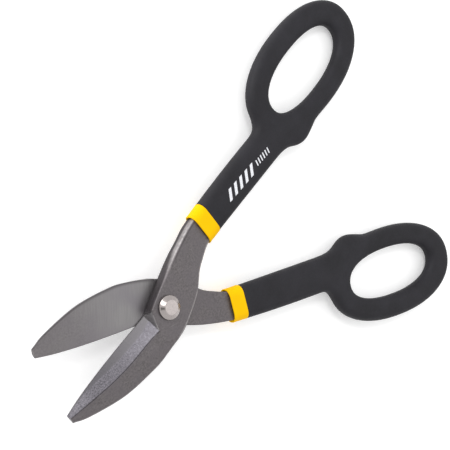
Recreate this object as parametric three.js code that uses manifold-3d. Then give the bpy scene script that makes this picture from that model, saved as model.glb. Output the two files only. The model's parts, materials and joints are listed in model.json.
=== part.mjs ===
// Straight-pattern tin snips: two drop-forged levers crossing on one pivot bolt, with dipped vinyl handles.
// Millimetres, +Z up along the pivot axis. The origin is the centre of the bolt's flat lower end.
// +X points from the pivot to the handles, along the line that halves the angle between the levers.
// Each lever is drawn in its own flat frame: the pivot at 0,0, the handle along +X and the shear plane at
// z = 0. The snips are closed when both of these frames lie on the X axis.
import * as THREE from "three";
import { mergeVertices } from "three/addons/utils/BufferGeometryUtils.js";
import Module from "manifold-3d";

// ---- Driving dimensions ----
const HALF_OPENING = THREE.MathUtils.degToRad(13.4); // each lever's turn from closed to the modelled pose
const FIT_GAP = 0.3; // between pieces that touch
const SHEAR_GAP = FIT_GAP / 2; // each blade's flat face to the shear plane

const SHEAR_Z = 13.5; // the shear plane's height above the bolt's lower end
const LAYER = 6.2; // thickness of the pivot boss and the shank
const HANDLE_HALF = 2.5; // half the steel handle's thickness
const HANDLE_RISE = 1; // at the joggle, the handle's middle stands this far above the shear plane
const HANDLE_LEVEL_X = 143; // and it comes down to the plane here, at the middle of the loop

const COAT = 1.1; // vinyl wall
const ROUND_EDGE = [3.6, 3.3]; // the coated bar's rounding, across and in height
const COLLAR_WIDTH = 8.5; // yellow band
const FRONT_COLLAR_START = 38.9; // distance from the pivot at which each band starts
const BACK_COLLAR_START = 36.6;

// Blade: heel at the pivot end, tip at the far end.
const TIP_X = -67.6;
const TIP_EDGE_Y = 0.7; // the blunt tip's corner on the cutting edge
const TIP_SPINE_Y = -3.8; // and on the spine
const HEEL_X = -10.5; // where the bevel stops, beside the pivot boss
const HEEL_EDGE_Y = 4.1; // and the cutting edge with it
const HEEL_THICKNESS = 5.6;
const TIP_THICKNESS = 2.1;
const SPINE_DRAFT = 1.8; // how far the spine's edge leans in over the blade's thickness
const BOSS_END_X = -8; // where the boss starts to drop to the blade
const BLADE_END_X = -5; // the blade's own solid ends here, inside the boss
const LAND = 0.6; // blunt height left above the cutting edge by the ground bevel
const BEVEL_ANGLE = Math.atan(0.52);
const BEVEL_FLATS = [ // the ground bevel follows the convex cutting edge in two flats
  { edgePoint: [-28, 3.75], edgeDirection: [1, 0.028] },
  { edgePoint: [-60, 1.85], edgeDirection: [1, 0.13] },
];
const RIDGE_Y = -4.8; // the bevel's upper limit at the heel
const RUNOUT_LENGTH = 2.6; // the steep slope between the bevel's end and the boss, along the cutting edge

// Joggle: the shank steps from its own layer towards the shear plane, so both handles lie side by side.
const JOGGLE_START_X = 25;
const JOGGLE_END_X = 34;
const BAR_START_X = 34.7; // where the rounded handle bar takes over from the flat-faced shank
const SHANK_END_X = 35.4;
const PARTING_Z = 2.4; // the forging's widest level on the shank
const SHANK_HALF = 4; // half the height of the bar that the shank is cut from
const SHANK_EDGE = [1.5, 3]; // its side walls' lean, across and in height

// Finger loop: two ovals, a little fuller than ellipses, turned towards the outer side.
const OVAL_POWER = 2.22;
const OVAL_TURN = THREE.MathUtils.degToRad(3);
const LOOP_CENTRE = [142.8, 27.6];
const LOOP_RADII = [42.4, 24];
const HOLE_CENTRE = [142.2, 27];
const HOLE_RADII = [29.3, 12.5];
const LOOP_END_X = LOOP_CENTRE[0] + LOOP_RADII[0] + 1; // just past the loop

// Pivot hardware.
const BOLT_RADIUS = 3.95;
const HEAD_RADIUS = 5.75;
const HEAD_RIM = 0.8;
const HEAD_HEIGHT = 2.2;
const HEAD_TOP_RADIUS = 3.5;
const NECK_SIDE = 7.9; // square neck, keyed in the front lever
const NECK_END = 1.2; // the neck stops this far above the shear plane
const WASHER_RADIUS = 7.4;
const WASHER_THICKNESS = 1;
const NUT_ACROSS_FLATS = 12.7;
const NUT_THICKNESS = 4.2;
const NUT_CHAMFER = 0.6;
const BORE_CLEARANCE = 0.1;
const ROUND_SEGMENTS = 40;

const BEYOND = 60; // cutting blocks reach this far, past the sides of the lever

// ---- Solids: meshes to manifold-3d and back ----
const wasm = await Module();
wasm.setup();

function solidOf(geometry, placement = new THREE.Object3D()) {
  const bare = geometry.clone();
  bare.deleteAttribute("normal");
  bare.deleteAttribute("uv");
  placement.updateMatrix();
  bare.applyMatrix4(placement.matrix);
  const merged = mergeVertices(bare, 1e-4);
  const vertProperties = merged.attributes.position.array;
  const triVerts = new Uint32Array(merged.index.array);
  return new wasm.Manifold(new wasm.Mesh({ numProp: 3, vertProperties, triVerts }));
}

function geometryOf(solid) {
  const mesh = solid.getMesh();
  const geometry = new THREE.BufferGeometry();
  geometry.setAttribute("position", new THREE.BufferAttribute(mesh.vertProperties.slice(), 3));
  geometry.setIndex(new THREE.BufferAttribute(mesh.triVerts.slice(), 1));
  const faceted = geometry.toNonIndexed();
  faceted.computeVertexNormals();
  return faceted;
}

// ---- Plane outlines ----
const vectors = (points) => points.map(([x, y]) => new THREE.Vector2(x, y));
const through = (points, steps) => new THREE.SplineCurve(vectors(points)).getPoints(steps);

function ovalArc(centre, radii, from, to, steps) {
  const middle = new THREE.Vector2(...centre);
  const bend = (value) => Math.sign(value) * Math.abs(value) ** (2 / OVAL_POWER);
  return Array.from({ length: steps + 1 }, (_, i) => {
    const angle = THREE.MathUtils.lerp(from, to, i / steps);
    const point = new THREE.Vector2(radii[0] * bend(Math.cos(angle)), radii[1] * bend(Math.sin(angle)));
    return point.add(middle).rotateAround(middle, OVAL_TURN);
  });
}

// Moves a closed outline's points into the material, or away from it where distance is negative.
function inset(points, distance) {
  const inward = THREE.ShapeUtils.isClockWise(points) ? -1 : 1;
  return points.map((point, i) => {
    const before = points[(i + points.length - 1) % points.length];
    const after = points[(i + 1) % points.length];
    const first = point.clone().sub(before).normalize();
    const second = after.clone().sub(point).normalize();
    const middle = first.clone().add(second).normalize();
    const reach = (inward * distance) / Math.max(0.4, middle.dot(second));
    return new THREE.Vector2(point.x - middle.y * reach, point.y + middle.x * reach);
  });
}

function shapeOf(outline, holes = []) {
  const shape = new THREE.Shape(outline);
  shape.holes = holes.map((hole) => new THREE.Path(hole));
  return shape;
}

// A plate from z = low to z = high.
function plate(outline, low, high) {
  const extrusion = { depth: high - low, bevelEnabled: false };
  const geometry = new THREE.ExtrudeGeometry(shapeOf(outline), extrusion);
  geometry.translate(0, 0, low);
  return solidOf(geometry);
}

// A bar about z = 0 with rounded long edges: the outline is its widest section.
function roundedBar(outline, holes, half, edgeWidth, edgeHeight, steps) {
  const geometry = new THREE.ExtrudeGeometry(shapeOf(outline, holes), {
    depth: 2 * (half - edgeHeight),
    bevelThickness: edgeHeight,
    bevelSize: edgeWidth,
    bevelOffset: -edgeWidth,
    bevelSegments: steps,
  });
  geometry.translate(0, 0, edgeHeight - half);
  return geometry;
}

// Everything between two distances from the pivot.
function slabBetween(lowX, highX, lowZ = -LAYER, highZ = 2 * LAYER) {
  return plate(vectors([[lowX, -BEYOND], [highX, -BEYOND], [highX, BEYOND], [lowX, BEYOND]]), lowZ, highZ);
}

// A side profile, drawn in x and z, running right across the lever.
function across(profile) {
  const extrusion = { depth: 2 * BEYOND, bevelEnabled: false };
  const geometry = new THREE.ExtrudeGeometry(shapeOf(vectors(profile)), extrusion);
  geometry.rotateX(Math.PI / 2);
  geometry.translate(0, BEYOND, 0);
  return solidOf(geometry);
}

// A large block that stands on a tilted plane. Its local origin, x and y lie in the plane.
function blockOn(origin, alongX, towardsY, lowX, highX) {
  const geometry = new THREE.BoxGeometry(highX - lowX, 2 * BEYOND, BEYOND);
  geometry.translate((highX + lowX) / 2, 0, BEYOND / 2);
  const x = new THREE.Vector3(...alongX).normalize();
  const up = x.clone().cross(new THREE.Vector3(...towardsY)).normalize();
  const placement = new THREE.Object3D();
  placement.position.set(...origin);
  placement.rotation.setFromRotationMatrix(new THREE.Matrix4().makeBasis(x, up.clone().cross(x), up));
  return solidOf(geometry, placement);
}

// ---- The lever, one forging used for both sides ----
function bladeAndShankOutline() {
  const edgePoints = [[TIP_X, TIP_EDGE_Y], [-58, 2.1], [-44, 3.2], [-28, 3.8], [HEEL_X, HEEL_EDGE_Y]];
  const cuttingEdge = through(edgePoints, 16);
  const outerSide = through([[-8.5, 5], [-3, 7.4], [9, 11.9], [21, 15.8], [SHANK_END_X, 18.6]], 14);
  const innerSide = through([[SHANK_END_X, 5], [29.5, 2.3], [24, -0.6], [15, -7.4], [2, -13]], 14);
  const spinePoints = [[-3.5, -14.6], [-14, -16.4], [-24, -16.8], [-42, -14.4], [-60, -8], [-66.8, -4.2]];
  const spine = through(spinePoints, 20);
  return [...cuttingEdge, ...outerSide, ...innerSide, ...spine, ...vectors([[TIP_X, TIP_SPINE_Y]])];
}

// The shank's side profile: the drop from the boss to the blade, the boss, and the joggle to the handle.
const SHANK_PROFILE = [
  [HEEL_X, SHEAR_GAP],
  [JOGGLE_START_X, SHEAR_GAP],
  [JOGGLE_END_X, HANDLE_RISE - HANDLE_HALF],
  [SHANK_END_X, HANDLE_RISE - HANDLE_HALF],
  [SHANK_END_X, HANDLE_RISE + HANDLE_HALF],
  [JOGGLE_END_X, HANDLE_RISE + HANDLE_HALF],
  [JOGGLE_START_X, LAYER],
  [BOSS_END_X, LAYER],
  [HEEL_X, HEEL_THICKNESS],
];

// The shank's side walls lean in above and below the forging's parting line.
function shank() {
  const bar = roundedBar(bladeAndShankOutline(), [], SHANK_HALF, ...SHANK_EDGE, 3);
  bar.translate(0, 0, PARTING_Z);
  return solidOf(bar).intersect(across(SHANK_PROFILE));
}

// The blade is flat below. Above, it thins along a parabola from heel to tip, and its spine leans in.
function blade() {
  const blank = solidOf(roundedBar(bladeAndShankOutline(), [], 1, SPINE_DRAFT, 0.8, 3));
  const geometry = geometryOf(blank.intersect(slabBetween(TIP_X - 1, BLADE_END_X, 0, 2)));
  const position = geometry.attributes.position;
  for (let i = 0; i < position.count; i++) {
    const outward = Math.max(0, (position.getX(i) - HEEL_X) / (TIP_X - HEEL_X));
    const thickness = THREE.MathUtils.lerp(HEEL_THICKNESS, TIP_THICKNESS, outward ** 2);
    position.setZ(i, SHEAR_GAP + position.getZ(i) * (thickness - SHEAR_GAP));
  }
  return solidOf(geometry);
}

// All that one flat of the bevel takes off: it stops square at the heel and runs out past the tip.
function bevelCutter({ edgePoint, edgeDirection }) {
  const [dx, dy] = edgeDirection;
  const rise = Math.tan(BEVEL_ANGLE) * Math.hypot(dx, dy);
  const origin = [...edgePoint, SHEAR_GAP + LAND];
  return blockOn(origin, [dx, dy, 0], [-dy, dx, -rise], -BEYOND, HEEL_X - edgePoint[0]);
}

// Where the bevel runs out, a short slope climbs to the boss.
function runoutCutter() {
  const start = new THREE.Vector3(HEEL_X, HEEL_EDGE_Y, SHEAR_GAP + LAND);
  const ridgeHeight = start.z + Math.tan(BEVEL_ANGLE) * (HEEL_EDGE_Y - RIDGE_Y);
  const ridge = new THREE.Vector3(HEEL_X, RIDGE_Y, ridgeHeight);
  const top = new THREE.Vector3(HEEL_X + RUNOUT_LENGTH, HEEL_EDGE_Y, LAYER);
  const climb = top.clone().sub(start);
  const side = start.clone().sub(ridge).normalize();
  const uphill = climb.clone().sub(side.clone().multiplyScalar(climb.dot(side)));
  return blockOn(start.toArray(), uphill.toArray(), side.toArray(), 0, BEYOND);
}

// The coated handle and finger loop, at the coat's outer surface.
function coatOutline() {
  const outerEdge = vectors([[30, 19.4], [60, 22.1], [94.5, 23.6]]);
  const neck = through([[97, 24.1], [98.8, 25.7], [100, 28.1]], 4);
  const loop = ovalArc(LOOP_CENTRE, LOOP_RADII, Math.PI * 0.95, -Math.PI * 0.56, 44);
  const stop = [[129.5, 3.3], [124.5, 1.6], [118, 0.2], [112.5, 1.5], [107.5, 4.5], [102, 5.6]];
  const bump = through(stop, 16);
  return [...outerEdge, ...neck, ...loop, ...bump, ...vectors([[60, 4.4], [30, 3.4]])];
}

const holeOutline = () => ovalArc(HOLE_CENTRE, HOLE_RADII, 0, 2 * Math.PI, 36).slice(0, -1);

// The handle and loop, drawn in by a depth below the coat's surface. They slope from the joggle to the loop.
function handleBar(depth, steps) {
  const outline = inset(coatOutline(), depth);
  const hole = inset(holeOutline(), -depth);
  const [edgeWidth, edgeHeight] = ROUND_EDGE;
  const coatHalf = HANDLE_HALF + FIT_GAP + COAT;
  const edge = [edgeWidth - depth / 2, edgeHeight - depth];
  const bar = roundedBar(outline, [hole], coatHalf - depth, ...edge, steps);
  const slope = HANDLE_RISE / (HANDLE_LEVEL_X - SHANK_END_X);
  bar.applyMatrix4(new THREE.Matrix4().makeShear(0, -slope, 0, 0, 0, 0));
  bar.translate(0, 0, slope * HANDLE_LEVEL_X);
  return solidOf(bar);
}

function roundPin(radius, low, high) {
  const geometry = new THREE.CylinderGeometry(radius, radius, high - low, ROUND_SEGMENTS);
  geometry.rotateX(Math.PI / 2);
  geometry.translate(0, 0, (low + high) / 2);
  return solidOf(geometry);
}

function squarePin(side, low, high) {
  const geometry = new THREE.BoxGeometry(side, side, high - low);
  geometry.translate(0, 0, (low + high) / 2);
  return solidOf(geometry);
}

function lever(pivotHole) {
  const handle = handleBar(COAT + FIT_GAP, 2).intersect(slabBetween(BAR_START_X, LOOP_END_X));
  const cuts = [...BEVEL_FLATS.map(bevelCutter), runoutCutter(), pivotHole];
  const forging = cuts.reduce((solid, cut) => solid.subtract(cut), blade().add(shank()));
  return forging.add(handle);
}

// ---- The dipped coat: yellow collar first, then the black grip ----
function coatBetween(lowX, highX) {
  return handleBar(0, 3).subtract(handleBar(COAT, 2)).intersect(slabBetween(lowX, highX));
}

const collar = (start) => coatBetween(start, start + COLLAR_WIDTH);
const grip = (start) => coatBetween(start + COLLAR_WIDTH + FIT_GAP, LOOP_END_X);

// ---- Pivot hardware, about the pivot axis with the shear plane at z = 0 ----
function boltHead(base) {
  const profile = [
    [0, 0],
    [HEAD_RADIUS, 0],
    [HEAD_RADIUS, HEAD_RIM],
    [HEAD_TOP_RADIUS, HEAD_HEIGHT],
    [0, HEAD_HEIGHT],
  ];
  const geometry = new THREE.LatheGeometry(vectors(profile), ROUND_SEGMENTS);
  geometry.rotateX(Math.PI / 2);
  geometry.translate(0, 0, base);
  return solidOf(geometry);
}

function bolt() {
  const headBase = LAYER + FIT_GAP;
  return boltHead(headBase)
    .add(squarePin(NECK_SIDE, NECK_END, headBase + HEAD_RIM / 2))
    .add(roundPin(BOLT_RADIUS, -SHEAR_Z, NECK_END + 1));
}

function washer(top) {
  const low = top - WASHER_THICKNESS;
  const bore = roundPin(BOLT_RADIUS + BORE_CLEARANCE, low - 1, top + 1);
  return roundPin(WASHER_RADIUS, low, top).subtract(bore);
}

function nut(top) {
  const low = top - NUT_THICKNESS;
  const cornerRadius = NUT_ACROSS_FLATS / Math.sqrt(3);
  const hexagon = new THREE.CylinderGeometry(cornerRadius, cornerRadius, NUT_THICKNESS, 6);
  hexagon.rotateX(Math.PI / 2);
  hexagon.translate(0, 0, (low + top) / 2);
  const flatsRadius = NUT_ACROSS_FLATS / 2;
  const chamfer = [
    [0, 0],
    [flatsRadius, 0],
    [cornerRadius + NUT_CHAMFER, NUT_CHAMFER * 2],
    [cornerRadius + NUT_CHAMFER, NUT_THICKNESS],
    [0, NUT_THICKNESS],
  ];
  const turned = new THREE.LatheGeometry(vectors(chamfer), ROUND_SEGMENTS);
  turned.rotateX(Math.PI / 2);
  turned.translate(0, 0, low);
  return solidOf(hexagon)
    .intersect(solidOf(turned))
    .subtract(roundPin(BOLT_RADIUS + BORE_CLEARANCE, low - 1, top + 1));
}

// ---- Materials ----
function finish(color, roughness, metalness) {
  return new THREE.MeshStandardMaterial({ color, roughness, metalness });
}

const FORGED_STEEL = ["#777375", 0.5, 0.85];
const BRIGHT_STEEL = ["#cfc8c5", 0.25, 1];
const BLACK_VINYL = ["#38373c", 0.55, 0];
const YELLOW_VINYL = ["#fdd210", 0.45, 0];

// ---- Assembly ----
function piece(name, solid, look) {
  const mesh = new THREE.Mesh(geometryOf(solid), finish(...look));
  mesh.name = name;
  return mesh;
}

// The front lever lies above the shear plane and holds the bolt's square neck.
const frontLever = new THREE.Group();
const squareHole = squarePin(NECK_SIDE + 2 * BORE_CLEARANCE, -LAYER, 2 * LAYER);
frontLever.add(
  piece("front_blade_lever", lever(squareHole), FORGED_STEEL),
  piece("front_collar", collar(FRONT_COLLAR_START), YELLOW_VINYL),
  piece("front_grip", grip(FRONT_COLLAR_START), BLACK_VINYL),
  piece("pivot_bolt", bolt(), BRIGHT_STEEL),
  piece("pivot_washer", washer(-LAYER - FIT_GAP), BRIGHT_STEEL),
  piece("pivot_nut", nut(-LAYER - 2 * FIT_GAP - WASHER_THICKNESS), BRIGHT_STEEL),
);
frontLever.rotation.z = HALF_OPENING;

// The back lever is the same forging, turned over about the X axis, with a round hole.
const backLever = new THREE.Group();
const roundHole = roundPin(BOLT_RADIUS + BORE_CLEARANCE, -LAYER, 2 * LAYER);
backLever.add(
  piece("back_blade_lever", lever(roundHole), FORGED_STEEL),
  piece("back_collar", collar(BACK_COLLAR_START), YELLOW_VINYL),
  piece("back_grip", grip(BACK_COLLAR_START), BLACK_VINYL),
);
backLever.rotation.set(Math.PI, 0, HALF_OPENING); // opened as the front one is, then turned over

const group = new THREE.Group();
frontLever.position.z = SHEAR_Z;
backLever.position.z = SHEAR_Z;
group.add(frontLever, backLever);

export default group;
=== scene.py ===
"""Looks for the straight-pattern tin snips: two forged levers, dipped vinyl handles and the pivot bolt.

Each lever's pieces are drawn in millimetres in the lever's own flat frame: the pivot at 0,0, the handle along
+X and the shear plane at z = 0. lever_place() puts that frame where the CAD has it.
"""

import json
import math

import bmesh
import bpy
import numpy as np
from mathutils import Matrix, Vector
from mathutils.geometry import tessellate_polygon


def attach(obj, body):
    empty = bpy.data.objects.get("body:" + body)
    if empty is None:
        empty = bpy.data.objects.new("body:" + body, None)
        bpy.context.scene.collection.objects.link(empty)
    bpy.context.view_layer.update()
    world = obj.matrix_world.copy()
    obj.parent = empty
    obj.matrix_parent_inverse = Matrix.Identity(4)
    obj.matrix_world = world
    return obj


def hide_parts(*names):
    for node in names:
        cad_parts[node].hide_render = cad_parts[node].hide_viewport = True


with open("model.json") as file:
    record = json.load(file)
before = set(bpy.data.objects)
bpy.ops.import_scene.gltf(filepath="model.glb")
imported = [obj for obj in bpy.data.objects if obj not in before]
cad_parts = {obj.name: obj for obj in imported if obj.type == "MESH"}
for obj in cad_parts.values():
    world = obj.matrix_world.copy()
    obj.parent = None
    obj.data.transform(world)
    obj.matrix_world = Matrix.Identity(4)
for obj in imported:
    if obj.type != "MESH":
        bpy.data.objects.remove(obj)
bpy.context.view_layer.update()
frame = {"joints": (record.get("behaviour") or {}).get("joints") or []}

# ---- Sizes, in millimetres, the same as the CAD's ----
MM = 0.001
HALF_OPENING = math.radians(13.4)
PIVOT = Vector(frame["joints"][0]["pos_m"])

SHEAR_GAP = 0.15  # from the shear plane to each lever
FIT_GAP = 0.3  # between the levers and the hardware
LAYER = 6.2  # the boss's height above the shear plane
LAND = 0.6  # the thickness left at the cutting edge
TIP_X = -67.6
HEEL_X = -10.5
JOGGLE_BELOW = (24.5, 35.5)
JOGGLE_ABOVE = (15.0, 46.0)
HANDLE_HALF = 2.5
HANDLE_LEVEL_X = 143.0
HANDLE_SLOPE = 1.0 / (HANDLE_LEVEL_X - 35.4)
TANG_END_X = 88.0
COAT_HALF = 3.9
COAT_EDGE = 4.6
COAT_POWER = 2.3
OVAL_POWER = 2.22
OVAL_TURN = math.radians(3)
COLLAR_WIDTH = 8.5
COLLAR_START = {"front": 38.9, "back": 36.6}
PIN_RADIUS = 3.95
BORE_RADIUS = PIN_RADIUS + 0.1
NECK_END = 1.2
CORNER_CLIP = 1.29  # the square's corners are cut at this many times half its side
HEAD_HEIGHT = 2.2
THREAD_END = -6.6
WASHER_THICKNESS = 1.0
NUT_ACROSS_FLATS = 12.7
NUT_THICKNESS = 4.2

QUARTER = math.pi / 2
# Edges that turn by more than this many degrees stay sharp.
CREASE = {"blade": 50, "coat": 60, "band": 70, "marks": 38, "hardware": 30}


# ---- Small tools ----
def smoothstep(low, high, value):
    t = np.clip((np.asarray(value, float) - low) / (high - low), 0, 1)
    return t * t * (3 - 2 * t)


def mix(a, b, t):
    return a + (b - a) * t


def soft_min(a, b, reach):
    """The lower of two surfaces, with a fillet where they cross."""
    h = np.clip(0.5 + 0.5 * (b - a) / reach, 0, 1)
    return b + (a - b) * h - reach * h * (1 - h)


def spline(points, steps=24):
    """A Catmull-Rom curve through the points."""
    p = np.array([points[0], *points, points[-1]], float)
    t = np.linspace(0, 1, steps, endpoint=False)[:, None]
    spans = []
    for a, b, c, d in zip(p, p[1:], p[2:], p[3:]):
        cubic = (3 * b - a - 3 * c + d) * t**3
        spans.append(0.5 * (2 * b + (c - a) * t + (2 * a - 5 * b + 4 * c - d) * t**2 + cubic))
    return np.vstack([*spans, p[-1:]])


def curve_of_x(points):
    """y as a smooth function of x."""
    samples = spline(sorted(points))
    return lambda x: np.interp(x, samples[:, 0], samples[:, 1])


def lever_place(side):
    over = Matrix.Rotation(math.pi, 4, "X") if side == "back" else Matrix.Identity(4)
    return Matrix.Translation(PIVOT) @ over @ Matrix.Rotation(HALF_OPENING, 4, "Z")


def smooth(mesh, angle):
    mesh.shade_smooth()
    mesh.set_sharp_from_angle(angle=math.radians(angle))


def mesh_object(name, verts, faces, material, angle):
    """A piece in a lever's frame."""
    mesh = bpy.data.meshes.new(name)
    mesh.from_pydata((np.asarray(verts, float) * MM).tolist(), [], faces)
    mesh.validate()
    bm = bmesh.new()
    bm.from_mesh(mesh)
    bmesh.ops.remove_doubles(bm, verts=bm.verts, dist=1e-7)
    bmesh.ops.recalc_face_normals(bm, faces=bm.faces)
    bm.to_mesh(mesh)
    bm.free()
    smooth(mesh, angle)
    mesh.materials.append(material)
    obj = bpy.data.objects.new(name, mesh)
    bpy.context.scene.collection.objects.link(obj)
    return obj


def ring_faces(first, second):
    """Quads between two closed rings of point numbers."""
    n = len(first)
    return [(first[i], first[(i + 1) % n], second[(i + 1) % n], second[i]) for i in range(n)]


def fill(verts, *loops):
    """Triangles that fill flat closed loops of point numbers, the first being the outer one."""
    numbers = [i for loop in loops for i in loop]
    outlines = [[Vector(verts[i]) for i in loop] for loop in loops]
    return [tuple(numbers[i] for i in triangle) for triangle in tessellate_polygon(outlines)]


def loft(sections, ends=True, closed=False):
    """A skin over sections that all have the same number of points."""
    count = len(sections[0])
    verts = np.vstack(sections)
    rings = [list(range(k * count, (k + 1) * count)) for k in range(len(sections))]
    faces = [face for a, b in zip(rings, rings[1:]) for face in ring_faces(a, b)]
    if closed:
        faces += ring_faces(rings[-1], rings[0])
    elif ends:
        faces += [tuple(rings[0][::-1]), tuple(rings[-1])]
    return verts, faces


# ---- Materials ----
class Shader:
    """A material's node tree, built with short calls."""

    def __init__(self, name):
        self.material = bpy.data.materials.new(name)
        self.material.use_nodes = True
        self.tree = self.material.node_tree
        self.surface = self.tree.nodes["Principled BSDF"]
        self.place = self.node("ShaderNodeTexCoord").outputs["Object"]

    def node(self, kind, **settings):
        made = self.tree.nodes.new(kind)
        for key, value in settings.items():
            setattr(made, key, value)
        return made

    def feed(self, socket, value):
        if isinstance(value, bpy.types.NodeSocket):
            self.tree.links.new(value, socket)
        else:
            socket.default_value = value

    def noise(self, size, detail=3.0, rough=0.55, stretch=(1, 1, 1), turn=0.0, shift=0.0):
        """Noise with features of about the given size in millimetres, stretched along the lever's axes."""
        mapping = self.node("ShaderNodeMapping", vector_type="TEXTURE")
        self.feed(mapping.inputs["Vector"], self.place)
        mapping.inputs["Scale"].default_value = [size * MM * s for s in stretch]
        mapping.inputs["Rotation"].default_value = (0, 0, math.radians(turn))
        mapping.inputs["Location"].default_value = (shift * MM, 0, 0)
        noise = self.node("ShaderNodeTexNoise")
        self.feed(noise.inputs["Vector"], mapping.outputs["Vector"])
        values = {"Scale": 1.0, "Detail": detail, "Roughness": rough}
        for key, value in values.items():
            noise.inputs[key].default_value = value
        return noise.outputs["Fac"]

    def ramp(self, factor, low, high, to_low=0.0, to_high=1.0):
        made = self.node("ShaderNodeMapRange")
        values = (factor, low, high, to_low, to_high)
        for key, value in zip(("Value", "From Min", "From Max", "To Min", "To Max"), values):
            self.feed(made.inputs[key], value)
        return made.outputs["Result"]

    def blend(self, factor, first, second):
        made = self.node("ShaderNodeMix", data_type="RGBA")
        self.feed(made.inputs[0], factor)
        self.feed(made.inputs[6], first)
        self.feed(made.inputs[7], second)
        return made.outputs[2]

    def math(self, operation, first, second):
        made = self.node("ShaderNodeMath", operation=operation)
        self.feed(made.inputs[0], first)
        self.feed(made.inputs[1], second)
        return made.outputs[0]

    def attribute(self, name):
        return self.node("ShaderNodeAttribute", attribute_name=name).outputs["Fac"]

    def bump(self, height, depth, strength, base=None):
        made = self.node("ShaderNodeBump")
        made.inputs["Strength"].default_value = strength
        made.inputs["Distance"].default_value = depth * MM
        self.feed(made.inputs["Height"], height)
        if base is not None:
            self.feed(made.inputs["Normal"], base)
        return made.outputs["Normal"]

    def finish(self, **inputs):
        for key, value in inputs.items():
            self.feed(self.surface.inputs[key.replace("_", " ")], value)
        return self.material


def rgb(red, green, blue):
    """A linear colour from sRGB numbers of 0 to 255."""
    def linear(value):
        value /= 255
        return value / 12.92 if value <= 0.04045 else ((value + 0.055) / 1.055) ** 2.4

    return (linear(red), linear(green), linear(blue), 1.0)


def forged_steel(name, shift, streak_turn):
    """Scaled, tumbled forging skin, and ground faces where the mesh says so."""
    s = Shader(name)
    ground, mottled = s.attribute("ground"), s.attribute("mottled")
    cloud = s.noise(9, 2, shift=shift)
    broad = s.noise(16, 2, shift=shift + 15)
    speckle = s.noise(0.9, 4, 0.65, shift=shift)
    pits = s.noise(1.7, 3, 0.6, shift=shift + 40)
    fine = s.noise(0.55, 3, 0.6, shift=shift + 90)
    streaks = s.noise(0.45, 4, 0.65, stretch=(1, 30, 30), turn=streak_turn, shift=shift)
    scratches = s.noise(0.55, 2, stretch=(1, 16, 16), turn=streak_turn + 60, shift=shift + 70)
    # the forging skin
    skin = s.blend(s.ramp(speckle, 0.36, 0.66), rgb(97, 93, 94), rgb(125, 120, 121))
    skin = s.blend(s.ramp(cloud, 0.35, 0.65, 0.0, 0.6), skin, rgb(112, 107, 110))
    skin = s.blend(s.ramp(scratches, 0.7, 0.76, 0.0, 0.4), skin, rgb(150, 146, 146))
    # the ground faces, smooth or coarse
    cut = s.blend(s.ramp(streaks, 0.3, 0.7), rgb(126, 124, 125), rgb(143, 141, 141))
    cut = s.blend(s.ramp(broad, 0.4, 0.65, 0.0, 0.6), cut, rgb(124, 120, 125))
    coarse = s.blend(s.ramp(speckle, 0.35, 0.68), rgb(112, 109, 115), rgb(148, 145, 152))
    cut = s.blend(mottled, cut, coarse)
    colour = s.blend(ground, skin, cut)
    # the bevel's darker grain, strongest towards the tip
    grain = s.blend(s.ramp(fine, 0.36, 0.64), rgb(74, 72, 76), rgb(112, 109, 115))
    soft_grain = s.blend(s.ramp(fine, 0.3, 0.7), rgb(78, 76, 80), rgb(90, 88, 92))
    colour = s.blend(s.attribute("tip_darkening"), colour, s.blend(mottled, soft_grain, grain))
    # painted highlights on the edges, and painted shade on the wall, along lines and at corners
    highlight_share = s.math("MULTIPLY", s.attribute("wear_and_highlight"), s.ramp(pits, 0.3, 0.6, 0.35, 0.9))
    colour = s.blend(highlight_share, colour, rgb(172, 168, 168))
    colour = s.blend(s.math("MULTIPLY", s.attribute("painted_shade"), 0.75), colour, rgb(58, 54, 57))
    skin_share = s.math("SUBTRACT", 1.0, ground)
    rough_skin = s.math("MULTIPLY", s.ramp(speckle, 0.3, 0.7, 0.5, 0.62), skin_share)
    rough_cut = s.math("MULTIPLY", s.ramp(streaks, 0.3, 0.7, 0.38, 0.48), ground)
    roughness = s.math("ADD", rough_skin, rough_cut)
    loose = s.math("ADD", speckle, s.math("MULTIPLY", pits, 0.8))
    coarse_share = s.math("MAXIMUM", skin_share, s.math("MULTIPLY", mottled, 0.5))
    normal = s.bump(s.math("MULTIPLY", loose, coarse_share), 0.16, 0.6)
    normal = s.bump(s.math("MULTIPLY", streaks, ground), 0.03, 0.5, normal)
    return s.finish(Base_Color=colour, Roughness=roughness, Normal=normal, Metallic=0.95)


def bright_steel(name):
    """Plated hardware, with faint turning marks and handling wear."""
    s = Shader(name)
    wear = s.noise(1.1, 4, 0.6)
    fine = s.noise(0.35, 2)
    colour = s.blend(s.ramp(wear, 0.35, 0.7), rgb(180, 172, 170), rgb(171, 164, 162))
    roughness = s.ramp(wear, 0.3, 0.7, 0.2, 0.26)
    return s.finish(Base_Color=colour, Roughness=roughness, Normal=s.bump(fine, 0.004, 0.3), Metallic=1.0)


def vinyl(name, dark, light, roughness, specular):
    """Dipped plastic: matte, with a very fine orange peel and slow unevenness in the dip."""
    s = Shader(name)
    slow = s.noise(11, 2)
    peel = s.noise(0.8, 3, 0.5)
    dust = s.noise(0.3, 2)
    colour = s.blend(s.ramp(slow, 0.3, 0.7), dark, light)
    gloss = s.ramp(peel, 0.3, 0.7, roughness - 0.05, roughness + 0.06)
    normal = s.bump(slow, 0.25, 0.35)
    normal = s.bump(s.math("ADD", peel, s.math("MULTIPLY", dust, 0.5)), 0.035, 0.6, normal)
    s.surface.inputs["Specular IOR Level"].default_value = specular
    return s.finish(Base_Color=colour, Roughness=gloss, Normal=normal)


def ink(name):
    s = Shader(name)
    wear_and_highlight = s.noise(0.5, 3)
    colour = s.blend(s.ramp(wear_and_highlight, 0.3, 0.6), rgb(196, 198, 204), rgb(232, 233, 237))
    return s.finish(Base_Color=colour, Roughness=s.ramp(wear_and_highlight, 0.3, 0.7, 0.5, 0.7))


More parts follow.
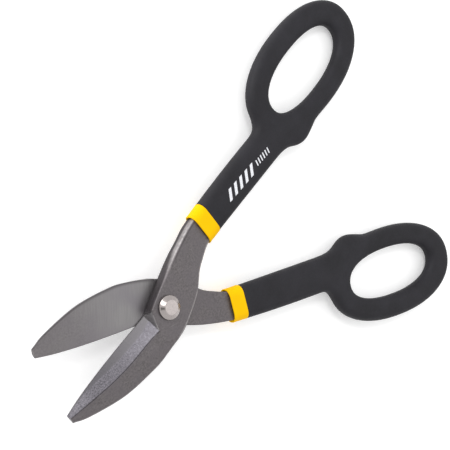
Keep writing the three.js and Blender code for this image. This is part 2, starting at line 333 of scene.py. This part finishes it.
STEEL = {
    "front": forged_steel("forged_steel_front", 0, 25.0),
    "back": forged_steel("forged_steel_back", 170, -30.0),
}
BRIGHT = bright_steel("bright_steel")
BLACK = vinyl("black_vinyl", rgb(29, 28, 32), rgb(36, 35, 40), 0.62, 0.26)
YELLOW = vinyl("yellow_vinyl", rgb(236, 182, 1), rgb(241, 189, 2), 0.55, 0.06)
INK = ink("white_ink")

# ---- The forging: its outline, and the height of its upper surface ----
outer_side = curve_of_x([
    (TIP_X, 0.7), (-58, 2.1), (-44, 3.2), (-28, 3.8), (HEEL_X, 4.1), (-8.5, 5), (-3, 7.4),
    (9, 11.9), (21, 15.8), (35.4, 18.5), (60, 20.7), (TANG_END_X + 1, 21.9),
])
inner_side = curve_of_x([
    (TIP_X, -3.8), (-66.8, -4.2), (-60, -8), (-42, -14.4), (-24, -16.8), (-14, -16.4),
    (-3.5, -14.4), (2, -12.95), (15, -7.4), (24, -0.7), (30, 2.1), (36, 4.3), (42, 5.2), (60, 5.8),
    (TANG_END_X + 1, 6.5),
])
# Where the bevel meets the blade's back, and how high.
ridge_y = curve_of_x([
    (TIP_X, -0.9), (-64.3, -1.35), (-55, -2.6), (-49, -3.45), (-40, -4.3), (-31, -4.65),
    (-20, -4.25), (HEEL_X, -3.9),
])
ridge_z = curve_of_x([(TIP_X, 2.1), (-55, 3.4), (-42, 4.4), (-20, 5.4), (HEEL_X, 5.95)])
# Where the bevel's smooth grinding gives way to the coarse.
grind_y = curve_of_x([
    (TIP_X, 0.6), (-58, 1.6), (-48, 1.2), (-40, 0.6), (-30, 0.1), (-18, 0.4), (HEEL_X, 1.6),
])
BODY_FALL = 0.09
RUNOUT_SLOPE = 2.6
RIDGE_FILLET, RUNOUT_FILLET = 0.22, 1.6


def heel_line(y):
    return HEEL_X + 0.1 * y


def handle_middle(x):
    return HANDLE_SLOPE * (HANDLE_LEVEL_X - x)


def bottom_z(x):
    return mix(SHEAR_GAP, handle_middle(x) - HANDLE_HALF, smoothstep(*JOGGLE_BELOW, x))


def bevel_z(x, y):
    """The ground bevel, and beyond the heel line the slope that climbs out of it."""
    at = np.minimum(x, heel_line(y))
    low = SHEAR_GAP + LAND
    edge = outer_side(np.minimum(at, HEEL_X))
    share = (edge - y) / (edge - ridge_y(at))
    flat = low + (ridge_z(at) - low) * share
    return flat + RUNOUT_SLOPE * np.maximum(0, x - heel_line(y))


def body_z(x, y):
    """The forged upper surface: the boss, the blade's back, and the joggled shank.

    The boss falls to the blade's back in one soft step, and towards the spine in a long one with a small lip.
    """
    back = ridge_z(x) - BODY_FALL * np.maximum(0, ridge_y(x) - y)
    radius = np.hypot(x, y)
    far = 0.8 * smoothstep(11, 34, radius) + 0.2 * smoothstep(15.2, 16.2, radius)
    step = mix(smoothstep(9, 16.5, radius), far, smoothstep(-5, -9, y))
    boss = mix(LAYER, back, step * (x < 0))
    return mix(boss, handle_middle(x) + HANDLE_HALF, smoothstep(*JOGGLE_ABOVE, x))


def top_z(x, y):
    reach = mix(RIDGE_FILLET, RUNOUT_FILLET, smoothstep(-0.1, 0.4, x - heel_line(y)))
    return soft_min(body_z(x, y), bevel_z(x, y), reach)


# Each section has this many points from the edge to the ridge, from there to the spine, and underneath.
TOP_EDGE_SIDE, TOP_SPINE_SIDE, BOTTOM_COUNT = 44, 28, 18
# The forging's rounding: how far in and down. It is round inside the grip and full along the spine.
BAR_ROUND = (2.9, 2.45)
SPINE_IN, SPINE_DOWN = 2.3, 0.82
INNER_ROUND = 0.9
LOWER_ROUND = 0.25
WALL_LEAN = 0.2
# The parting line: how far it stands out, at what share of the wall's height, and half its width.
PARTING_BULGE, PARTING_SHARE, PARTING_HALF = 0.1, 0.35, 0.3


def outer_wall(outer, low, corner_in, corner_down, bulge, top_y, top):
    """Points up the outer wall: the lower corner and the parting line, to where the upper rounding starts."""
    start = low + corner_down
    seam = mix(start, top, PARTING_SHARE)
    half = min(PARTING_HALF, (top - start) * 0.2)
    angle = np.linspace(0, QUARTER, 5)
    corner = [(outer - corner_in * (1 - math.sin(a)), low + corner_down * (1 - math.cos(a))) for a in angle]
    return corner + [
        (outer, seam - half),
        (outer + bulge, seam),
        (outer, seam + half),
        (mix(outer, top_y, 0.5), mix(seam + half, top, 0.5)),
    ]


def top_line(x, edge_y, far_y):
    """Points across the top, with the mesh's lines along the ridge."""
    at = min(x, HEEL_X)
    share = (outer_side(at) - ridge_y(at)) / (outer_side(at) - inner_side(at) - SPINE_IN)
    middle_y = mix(edge_y, far_y, min(0.9, share))
    ys = np.concatenate([
        np.linspace(edge_y, middle_y, TOP_EDGE_SIDE, endpoint=False)[1:],
        np.linspace(middle_y, far_y, TOP_SPINE_SIDE),
    ])
    return list(zip(ys, top_z(x, ys)))


def inner_wall(inner, low, edge_in, edge_down, top, corner_in, corner_down):
    """Points down the inner wall: the upper rounding and the lower corner."""
    edge_down = min(edge_down, (top - low) * 0.85)
    corner_down = min(corner_down, (top - edge_down - low) * 0.9)
    angle = np.linspace(0, QUARTER, 10)[1:]
    edge = [(inner + edge_in * (1 - math.sin(a)), top - edge_down * (1 - math.cos(a))) for a in angle]
    angle = np.linspace(0, QUARTER, 4)
    corner = [(inner + corner_in * (1 - math.cos(a)), low + corner_down * (1 - math.sin(a))) for a in angle]
    return edge + corner


def forging_ring(x):
    """One section at x, from the bottom of the outer wall up, over the top and down the inner wall."""
    outer, inner, low = outer_side(x), inner_side(x), bottom_z(x)
    bar_in, bar_down = BAR_ROUND
    bar = smoothstep(40, 50, x)
    wall = float(smoothstep(HEEL_X + 0.1, HEEL_X + 5.5, x))
    spine = 1 - smoothstep(-14, -2, x)
    thick = float(top_z(x, outer - 0.2)) - low
    rounding = 0.04 + 0.3 * wall + 1.2 * smoothstep(-5, 14, x)
    top_in = mix(rounding, bar_in, bar)
    top_down = mix(min(rounding, thick / 3), bar_down, bar)
    low_in = mix(0.04 + 0.36 * wall, bar_in, bar)
    low_down = mix(min(0.06 + 0.36 * wall, thick / 3), bar_down, bar)
    # the outer wall and the rounding above it
    top_y = outer - WALL_LEAN * wall * (1 - bar)
    edge_y = top_y - top_in
    edge_z = float(top_z(x, edge_y))
    end = max(edge_z - top_down, low + low_down + 0.02)
    ring = outer_wall(outer, low, low_in, low_down, PARTING_BULGE * wall * (1 - bar), top_y, end)
    angle = np.linspace(0, QUARTER, 9)
    ring += [(top_y - top_in * (1 - math.cos(a)), end + (edge_z - end) * math.sin(a)) for a in angle]
    # the top and the inner wall
    inner_in = mix(mix(INNER_ROUND, SPINE_IN, spine), bar_in, bar)
    far_y = inner + inner_in
    inner_top = float(top_z(x, far_y))
    inner_down = mix(mix(INNER_ROUND, SPINE_DOWN * (inner_top - low), spine), bar_down, bar)
    corner_in, corner_down = mix(LOWER_ROUND, bar_in, bar), mix(LOWER_ROUND, bar_down, bar)
    ring += top_line(x, edge_y, far_y)
    ring += inner_wall(inner, low, inner_in, inner_down, inner_top, corner_in, corner_down)
    # the flat underside
    ring += [(y, low) for y in np.linspace(inner + corner_in, outer - low_in, BOTTOM_COUNT)[1:-1]]
    return np.array([(x, y, z) for y, z in ring])


def stations():
    """Where the sections stand: closest at the heel, where the bevel runs out."""
    return np.concatenate([
        np.arange(TIP_X, HEEL_X - 1, 0.4),
        np.arange(HEEL_X - 1, HEEL_X + 3, 0.05),
        np.arange(HEEL_X + 3, 37, 0.4),
        np.arange(37, TANG_END_X, 3),
        [TANG_END_X],
    ])


# Where along the lever, in x, each kind of surface, painted highlight and painted shade changes.
FLAT_SHADE_FADES, BEVEL_DARKENS = (-15, -60), (-12, -52)
RIM_SHOWS = (-16, -8)
WALL_SHADE_SHRINKS, STRIP_STARTS, LINE_STARTS = (4, 26), (8, 24), (8, 20)
EDGE_DEPTH = 1.9  # how far in from the outer side its paint reaches


def between(low_edge, high_edge, value):
    """1 between two soft edges, each a pair of values, and 0 outside them."""
    return smoothstep(*low_edge, value) * (1 - smoothstep(*high_edge, value))


def edge_paint(x, y, z, at_heel, wear_and_highlight, painted_shade):
    """The outer edge: painted shade on the wall, and along the shank a painted highlight strip beside a
    painted dark line.
    """
    low, high = bottom_z(x), body_z(x, outer_side(x) - EDGE_DEPTH)
    share = (z - low) / (high - low)
    inset = outer_side(x) - y
    on_edge = (at_heel > 0.4) & (x < 48) & (inset < EDGE_DEPTH) & (share > 0.01)
    on_wall = on_edge & (inset < 0.45 + 0.9 * smoothstep(-5, 14, x))
    upper = mix(0.96, 0.46, smoothstep(*WALL_SHADE_SHRINKS, x))
    # painted shade on the wall, reaching less far up it along the shank
    wall_shade = (1 - smoothstep(upper - 0.1, upper + 0.05, share)) * smoothstep(0.9, 1.9, at_heel)
    painted_shade = np.where(on_wall, wall_shade, painted_shade)
    # a painted dark line beside the top, and a painted highlight strip on the rounding
    line = 0.6 * smoothstep(*LINE_STARTS, x) * between((0.9, 1.2), (1.6, 1.85), inset)
    painted_shade = np.where(on_edge & (share > 0.6), np.maximum(painted_shade, line), painted_shade)
    strip = 0.95 * smoothstep(*STRIP_STARTS, x) * between((0.46, 0.58), (0.9, 0.96), share)
    return np.where(on_edge, strip, wear_and_highlight), painted_shade


def paint_forging(obj):
    """Vertex values for the material.

    They say where the steel is ground, with the flat face's ground share falling towards the tip as painted
    shade, where that grinding is coarse (mottled), where the bevel is darker towards the tip, and where
    highlights are painted bright on the edges and shade painted dark on the wall, along lines and at corners.
    """
    mesh = obj.data
    co = np.zeros(len(mesh.vertices) * 3)
    mesh.vertices.foreach_get("co", co)
    x, y, z = (co.reshape(-1, 3) / MM).T
    low = bottom_z(x)
    on_top = z > low + 0.35
    apart = body_z(x, y) - bevel_z(x, y)
    at_heel = x - heel_line(y)
    bevel = on_top & (apart > -0.02) & (at_heel < 0.05)
    runout = on_top & (apart > 0) & (at_heel >= 0.05)
    flat = (z < low + 0.3) & (x < 8)
    # on the flat face the ground share falls towards the tip: painted shade, darker towards the tip
    ground = np.select([runout, flat, bevel], [0.8, mix(1.0, 0.35, smoothstep(*FLAT_SHADE_FADES, x)), 1.0])
    mottled = np.where(bevel, smoothstep(-0.35, 0.35, grind_y(x) - y), 0.0)
    # the bevel darker, more so towards the tip
    tip_darkening = np.where(bevel, mix(0.5, 1.0, smoothstep(*BEVEL_DARKENS, x)), 0.0)
    # painted highlights: a bright line along the facet's ridge and along the spine's rim
    ridge = (1 - smoothstep(0.15, 0.7, np.abs(apart))) * on_top * (x < 0) * smoothstep(0.05, 0.3, at_heel)
    rim = on_top & (y < inner_side(x) + 1.0) & (z > top_z(x, y) - 0.5) & (x < 38)
    wear_and_highlight = np.maximum(0.8 * ridge, rim * mix(0.1, 0.7, smoothstep(*RIM_SHOWS, x)))
    # painted shade: a dark line along the bevel's ridge and along the spine's lower corner
    bevel_line = on_top & (np.abs(apart) < 0.14) & (at_heel < 0)
    spine_corner = (y < inner_side(x) + 0.5) & (z < low + 0.9) & (x < 0)
    painted_shade = np.select([spine_corner, bevel_line], [0.8, 1.0])
    wear_and_highlight, painted_shade = edge_paint(x, y, z, at_heel, wear_and_highlight, painted_shade)
    paint = {"ground": ground, "mottled": mottled, "wear_and_highlight": wear_and_highlight, "painted_shade": painted_shade, "tip_darkening": tip_darkening}
    for name, values in paint.items():
        layer = mesh.attributes.new(name, "FLOAT", "POINT")
        layer.data.foreach_set("value", np.asarray(values, np.float32))


def bore(obj, cutter):
    """Cuts a hole where the cutter goes through a piece, and clears the cutter away."""
    modifier = obj.modifiers.new("bore", "BOOLEAN")
    modifier.operation, modifier.solver, modifier.object = "DIFFERENCE", "EXACT", cutter
    bpy.context.view_layer.update()
    shape = obj.evaluated_get(bpy.context.evaluated_depsgraph_get())
    obj.data = bpy.data.meshes.new_from_object(shape)
    obj.modifiers.clear()
    bpy.data.objects.remove(cutter)
    smooth(obj.data, CREASE["blade"])


def blade(side):
    """A forging, with the square hole for the bolt's neck in front and the round bore behind."""
    verts, faces = loft([forging_ring(x) for x in stations()])
    obj = mesh_object(f"{side}_blade", verts, faces, STEEL[side], CREASE["blade"])
    radius = square_radius if side == "front" else None
    through = [(BORE_RADIUS, -2), (BORE_RADIUS, LAYER + 2)]
    bore(obj, turned("cutter", through, STEEL[side], radius=radius))
    paint_forging(obj)
    return obj


# ---- The dipped coat ----
def oval_arc(centre, radii, start, end, count):
    angle = np.linspace(start, end, count)
    power = 2 / OVAL_POWER
    x = radii[0] * np.sign(np.cos(angle)) * np.abs(np.cos(angle)) ** power
    y = radii[1] * np.sign(np.sin(angle)) * np.abs(np.sin(angle)) ** power
    c, s = math.cos(OVAL_TURN), math.sin(OVAL_TURN)
    return np.stack([centre[0] + c * x - s * y, centre[1] + s * x + c * y], axis=1)


def even(points, spacing, rounds):
    """The closed outline with evenly spaced points and its corners eased."""
    for _ in range(3):
        closed = np.vstack([points, points[:1]])
        length = np.concatenate([[0], np.cumsum(np.linalg.norm(np.diff(closed, axis=0), axis=1))])
        count = int(round(length[-1] / spacing))
        at = np.linspace(0, length[-1], count, endpoint=False)
        points = np.stack([np.interp(at, length, closed[:, k]) for k in (0, 1)], axis=1)
        for _ in range(rounds):
            points = 0.5 * points + 0.25 * (np.roll(points, 1, axis=0) + np.roll(points, -1, axis=0))
    return points


def inward(points):
    """Unit vectors into the area that a closed outline encloses."""
    along = np.roll(points, -1, axis=0) - np.roll(points, 1, axis=0)
    along /= np.linalg.norm(along, axis=1)[:, None]
    x, y = points.T
    area = np.sum(x * np.roll(y, -1) - np.roll(x, -1) * y)
    return np.stack([-along[:, 1], along[:, 0]], axis=1) * math.copysign(1, area)


# The bar's coat between the collar and the loop, as x and y on its outer and inner sides.
COAT_OUTER = [(20, 18.3), (30, 19.4), (60, 22.1), (94.5, 23.6)]
COAT_INNER = [(60, 4.4), (30, 3.4), (20, 3.0)]


def coat_outline():
    outer = spline([(20, 18.4), (30, 19.4), (45, 20.85), (60, 22.0), (78, 23.0), (94.5, 23.6)])
    neck = spline([(97, 24.1), (98.8, 25.7), (100, 28.1)])
    loop = oval_arc((142.8, 27.6), (42.4, 24.0), math.pi * 0.95, -math.pi * 0.56, 240)
    bump = spline([(129.5, 3.3), (124.5, 1.6), (118, 0.2), (112.5, 1.5), (107.5, 4.5), (102, 5.6), (95, 5.6)])
    inner = spline([(60, 4.45), (45, 3.95), (30, 3.4), (20, 3.0)])
    return even(np.vstack([outer, neck, loop, bump, inner]), 0.75, 3)


def section_profile(steps):
    """The coat's rounding, as pairs of distance in from the widest outline and height, bottom to top."""
    angle = np.linspace(-math.pi / 2, math.pi / 2, 2 * steps + 1)
    power = 2 / COAT_POWER
    inset = COAT_EDGE * (1 - np.cos(angle) ** power)
    height = COAT_HALF * np.sign(np.sin(angle)) * np.abs(np.sin(angle)) ** power
    return list(zip(inset, height))


def grip(side):
    outline = coat_outline()
    hole = even(oval_arc((142.2, 27), (29.3, 12.5), 0, 2 * math.pi, 240)[:-1], 0.75, 1)
    verts, faces, ends = [], [], []
    for points, way in ((outline, inward(outline)), (hole, -inward(hole))):
        rings = []
        for inset, height in section_profile(11):
            start = sum(len(v) for v in verts)
            moved = points + way * inset
            verts.append(np.column_stack([moved, np.full(len(points), height)]))
            rings.append(list(range(start, start + len(points))))
        faces += [face for a, b in zip(rings, rings[1:]) for face in ring_faces(a, b)]
        ends.append((rings[0], rings[-1]))
    verts = np.vstack(verts)
    faces += fill(verts, ends[0][0], ends[1][0]) + fill(verts, ends[0][1], ends[1][1])
    verts[:, 2] += handle_middle(verts[:, 0])
    obj = mesh_object(f"{side}_grip_coat", verts, faces, BLACK, CREASE["coat"])
    cut = COLLAR_START[side] + COLLAR_WIDTH + 0.05
    bm = bmesh.new()
    bm.from_mesh(obj.data)
    geometry = [*bm.verts, *bm.edges, *bm.faces]
    bmesh.ops.bisect_plane(bm, geom=geometry, dist=1e-7, plane_co=(cut * MM, 0, 0), plane_no=(-1, 0, 0),
                           clear_outer=True)
    rim = [edge for edge in bm.edges if edge.is_boundary]
    bmesh.ops.contextual_create(bm, geom=rim)
    bmesh.ops.recalc_face_normals(bm, faces=bm.faces)
    bm.to_mesh(obj.data)
    bm.free()
    smooth(obj.data, CREASE["coat"])
    return obj


def bar_section(x, grow):
    """The coated bar's section at x, grown outwards by a distance."""
    outer = np.interp(x, *np.transpose(COAT_OUTER)) + grow
    inner = np.interp(x, *np.transpose(sorted(COAT_INNER))) - grow
    middle = handle_middle(x)
    angle = np.linspace(0, math.pi / 2, 12)
    power = 2 / COAT_POWER
    edge = max(0.5, COAT_EDGE + grow)
    inset = edge * (1 - np.cos(angle) ** power)
    height = (COAT_HALF + grow) * np.sin(angle) ** power
    right = list(zip(outer - inset, height))
    left = list(zip(inner + inset, height))
    flat = np.linspace(outer - edge, inner + edge, 12)[1:-1]
    upper = right + [(y, COAT_HALF + grow) for y in flat] + left[::-1]
    lower = [(y, -z) for y, z in upper[::-1]][1:-1]
    return np.array([(x, y, middle + z) for y, z in upper + lower])


def collar(side):
    """The yellow band: a rolled lip at the steel end and a rounded shoulder at the black grip."""
    start = COLLAR_START[side]
    end = start + COLLAR_WIDTH
    lip = [
        (0.1, -0.6), (-0.22, -0.38), (-0.36, -0.1), (-0.3, 0.14),
        (-0.05, 0.3), (0.35, 0.33), (0.8, 0.27), (1.4, 0.2),
    ]
    profile = [(start + 0.4 + dx, grow) for dx, grow in lip]
    profile += [(x, 0.2) for x in np.linspace(start + 2.6, end - 0.9, 8)]
    profile += [(end - 0.45, 0.17), (end - 0.15, 0.05), (end, -0.2), (end, -0.9), (end - 0.6, -1.25)]
    profile += [(x, -1.25) for x in np.linspace(end - 1.5, start + 1.2, 5)]
    profile += [(start + 0.6, -1.0)]
    verts, faces = loft([bar_section(x, grow) for x, grow in profile], closed=True)
    return mesh_object(f"{side}_collar_band", verts, faces, YELLOW, CREASE["band"])


def grip_marks():
    """Plain printed marks on the front grip: slanted bars and a row of ticks."""
    bars = [(60 + 4.4 * k, 4.6, 2.0, 3.4) for k in range(5)]
    ticks = [(84.5 + 1.9 * k, 2.6, 0.7, 0.6) for k in range(6)]
    verts, faces = [], []
    # each mark has its start, half height, width and slant
    for start, half, width, slant in bars + ticks:
        middle_y = 13.1 if half > 3 else 13.4
        end = start + width
        corners = [(start, -half), (end, -half), (end + slant, half), (start + slant, half)]
        base = len(verts)
        for lift in (-0.02, 0.03):
            for x, dy in corners:
                verts.append((x, middle_y + dy * 0.55, handle_middle(x) + COAT_HALF + lift))
        low, high = [base + i for i in range(4)], [base + 4 + i for i in range(4)]
        faces += ring_faces(low, high) + [tuple(low[::-1]), tuple(high)]
    return mesh_object("grip_marks", verts, faces, INK, CREASE["marks"])


# ---- Pivot hardware, turned about the bolt's axis with the shear plane at z = 0 ----
def turned(name, profile, material, count=96, radius=None, closed=False):
    """A body of revolution from pairs of radius and height. radius can change it with the angle."""
    around = np.linspace(0, 2 * math.pi, count, endpoint=False)
    rings = []
    for r, z in profile:
        rr = np.full(count, float(r)) if radius is None else radius(r, z, around)
        rings.append(np.stack([rr * np.cos(around), rr * np.sin(around), np.full(count, float(z))], axis=1))
    verts, faces = loft(rings, closed=closed)
    return mesh_object(name, verts, faces, material, CREASE["hardware"])


def square_radius(r, z, around):
    """The distance to a square with sides twice r and clipped corners, in each direction around the axis."""
    return r * np.minimum(1 / np.cos((around + math.pi / 4) % (math.pi / 2) - math.pi / 4), CORNER_CLIP)


def bolt():
    """A coned head, the square neck in the front lever, a round pin, and a thread at the far end."""
    base = LAYER + FIT_GAP
    flat = base + HEAD_HEIGHT
    head = [
        (5.59, base), (5.6, base + 0.02), (5.66, base + 0.1), (5.75, base + 0.3), (5.75, base + 0.55),
        (5.66, base + 0.78), (5.5, base + 0.95),
    ]
    rim, cone_end = np.array(head[-1]), np.array((3.62, flat - 0.08))
    head += [tuple(mix(rim, cone_end, t)) for t in (0.1, 0.3, 0.5, 0.7, 0.9, 1.0)]
    head += [(3.5, flat - 0.03), (3.35, flat - 0.01), (2.4, flat), (1.2, flat), (0.3, flat)]
    pitch, depth, low = 1.25, 0.42, -PIVOT.z / MM
    heights = [THREAD_END + 0.6, NECK_END - 0.02, NECK_END, base]
    thread = [(PIN_RADIUS, z) for z in np.arange(low + 0.55, THREAD_END, pitch / 10)]
    pin = thread + [(PIN_RADIUS, z) for z in heights]
    tip = [(0.4, low), (2.6, low), (3.3, low + 0.06), (3.6, low + 0.3)]

    def radius(r, z, around):
        if r == PIN_RADIUS and z >= NECK_END:
            return square_radius(r, z, around)
        if r != PIN_RADIUS or z > THREAD_END:
            return np.full(len(around), float(r))
        turn = (z / pitch - around / (2 * math.pi)) % 1
        groove = np.clip(np.abs(turn - 0.5) * 2.4 - 0.1, 0, 1)
        return r - depth * (1 - groove)

    return turned("pivot_bolt_body", tip + pin + head, BRIGHT, radius=radius)


def washer():
    """A flat washer, stamped, so that its upper and lower edges are rounded differently."""
    top = -LAYER - FIT_GAP
    low = top - WASHER_THICKNESS
    profile = [
        (4.05, low + 0.12), (4.2, low), (7.0, low), (7.28, low + 0.1), (7.4, low + 0.35),
        (7.4, top - 0.3), (7.3, top - 0.08), (7.1, top), (4.2, top), (4.05, top - 0.12),
    ]
    return turned("pivot_washer_ring", profile, BRIGHT, closed=True)


def nut():
    """A hexagon nut with both ends chamfered."""
    top = -LAYER - FIT_GAP - WASHER_THICKNESS - FIT_GAP
    low = top - NUT_THICKNESS
    flats = NUT_ACROSS_FLATS / 2

    def radius(r, z, around):
        if r < flats:
            return np.full(len(around), float(r))
        reach = flats / np.cos((around + math.pi / 6) % (math.pi / 3) - math.pi / 6)
        chamfer = flats + max(0.0, min(z - low, top - z)) * 1.75
        return np.minimum(reach, chamfer)

    chamfer_steps = np.linspace(0, 0.75, 9)
    heights = np.concatenate([chamfer_steps, [1.2, 2.1, 3.0], NUT_THICKNESS - chamfer_steps[::-1]])
    profile = [(4.3, low + 0.02), (flats - 0.25, low)] + [(flats, low + h) for h in heights]
    profile += [(flats - 0.25, top), (4.3, top - 0.02), (4.02, top - 0.3), (4.02, low + 0.3)]
    return turned("pivot_nut_body", profile, BRIGHT, count=144, radius=radius, closed=True)


# ---- Assembly ----
def join(piece, side, slot, *nodes):
    """Puts a piece where its lever is, and hides the CAD parts that it stands for."""
    piece.data.transform(lever_place(side))
    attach(piece, f"{side}_lever")
    if nodes:
        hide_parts(*nodes)


for side in ("front", "back"):
    join(blade(side), side, "forged_steel", f"{side}_blade_lever")
    join(collar(side), side, "yellow_vinyl", f"{side}_collar")
    join(grip(side), side, "black_vinyl", f"{side}_grip")
join(bolt(), "front", "bright_steel", "pivot_bolt")
join(washer(), "front", "bright_steel", "pivot_washer")
join(nut(), "front", "bright_steel", "pivot_nut")
join(grip_marks(), "front", None)


# ---- Floor, light and camera ----
def look(obj, target, up):
    """Turns a light towards a point."""
    obj.rotation_mode = "QUATERNION"
    obj.rotation_quaternion = (Vector(target) - obj.location).to_track_quat("-Z", up)


FLOOR_REACH, FLOOR_TILT, FLOOR_DROP = 12.0, math.radians(3.0), 0.0002


def floor():
    """A pale floor that the bolt's end and the finger loops rest on."""
    mesh = bpy.data.meshes.new("floor")
    ends = (-FLOOR_REACH, FLOOR_REACH)
    corners = [(ends[0], ends[0]), (ends[1], ends[0]), (ends[1], ends[1]), (ends[0], ends[1])]
    verts = [(x, y, x * math.tan(FLOOR_TILT) - FLOOR_DROP) for x, y in corners]
    mesh.from_pydata(verts, [], [(0, 1, 2, 3)])
    s = Shader("floor")
    # the floor glows a little, which lightens the shadows cast on it
    s.surface.inputs["Emission Strength"].default_value = 0.34
    white = (0.86, 0.86, 0.86, 1)
    mesh.materials.append(s.finish(Base_Color=white, Emission_Color=white, Roughness=0.9))
    obj = bpy.data.objects.new("floor", mesh)
    bpy.context.scene.collection.objects.link(obj)


# The camera's turn about the pivot axis, its tilt off that axis, and the tilt's own direction, in degrees.
CAMERA_TURN, CAMERA_TILT, TILT_DIRECTION = 29.95, 36.0, -2.0
CAMERA_DISTANCE = 553.3
PIVOT_IN_VIEW = (-29.28, -37.81)  # right of and above the view's centre line
LENS, SENSOR = 96.0, 36.0


def camera():
    axis = Vector((math.sin(math.radians(TILT_DIRECTION)), math.cos(math.radians(TILT_DIRECTION)), 0))
    spin = Matrix.Rotation(math.radians(CAMERA_TURN), 3, "Z")
    rows = Matrix.Rotation(math.radians(CAMERA_TILT), 3, axis) @ spin
    right, up, back = rows[0], rows[1], rows[2]
    data = bpy.data.cameras.new("camera")
    data.lens, data.sensor_width = LENS, SENSOR
    data.clip_start, data.clip_end = 0.01, 20
    obj = bpy.data.objects.new("camera", data)
    bpy.context.scene.collection.objects.link(obj)
    offset = back * CAMERA_DISTANCE - right * PIVOT_IN_VIEW[0] - up * PIVOT_IN_VIEW[1]
    place = Matrix((right, up, back)).transposed().to_4x4()
    place.translation = PIVOT + offset * MM
    obj.matrix_world = place
    bpy.context.scene.camera = obj
    return right, up, back


def softbox(name, direction, distance, size, power):
    """A square light that faces the tool, in metres and watts."""
    data = bpy.data.lights.new(name, "AREA")
    data.shape, data.size, data.energy = "SQUARE", size, power
    obj = bpy.data.objects.new(name, data)
    bpy.context.scene.collection.objects.link(obj)
    obj.location = CENTRE + direction.normalized() * distance
    look(obj, CENTRE, "Y")


def flag(direction, distance, half):
    """A small dark card that only shows in the bright metal, as a photographer's flag does."""
    mesh = bpy.data.meshes.new("flag")
    corners = [(-half, -half, 0), (half, -half, 0), (half, half, 0), (-half, half, 0)]
    mesh.from_pydata(corners, [], [(0, 1, 2, 3)])
    s = Shader("flag")
    mesh.materials.append(s.finish(Base_Color=(0.01, 0.01, 0.01, 1), Roughness=1.0))
    obj = bpy.data.objects.new("flag", mesh)
    bpy.context.scene.collection.objects.link(obj)
    obj.location = PIVOT + direction.normalized() * distance
    look(obj, PIVOT, "Y")
    obj.visible_camera = obj.visible_diffuse = obj.visible_shadow = False


CENTRE = Vector((0.05, 0.0, 0.01))
floor()
right, up, back = camera()
softbox("key", right * -0.45 + up * 0.66 + back * 0.58, 1.0, 0.55, 5.2)
softbox("top", right * 0.14 + up * 0.42 + back * 0.9, 1.2, 0.28, 3.0)
softbox("side", right * 0.95 + up * 0.1 + back * 0.31, 1.4, 1.0, 1.5)
flag(right * 0.15 - up * 0.1 + back, 0.45, 0.06)
world = bpy.data.worlds.new("world")
world.use_nodes = True
backdrop = world.node_tree.nodes["Background"].inputs
backdrop["Color"].default_value = (1, 1, 1, 1)
backdrop["Strength"].default_value = 0.92
bpy.context.scene.world = world
bpy.context.scene.view_settings.view_transform = "Standard"
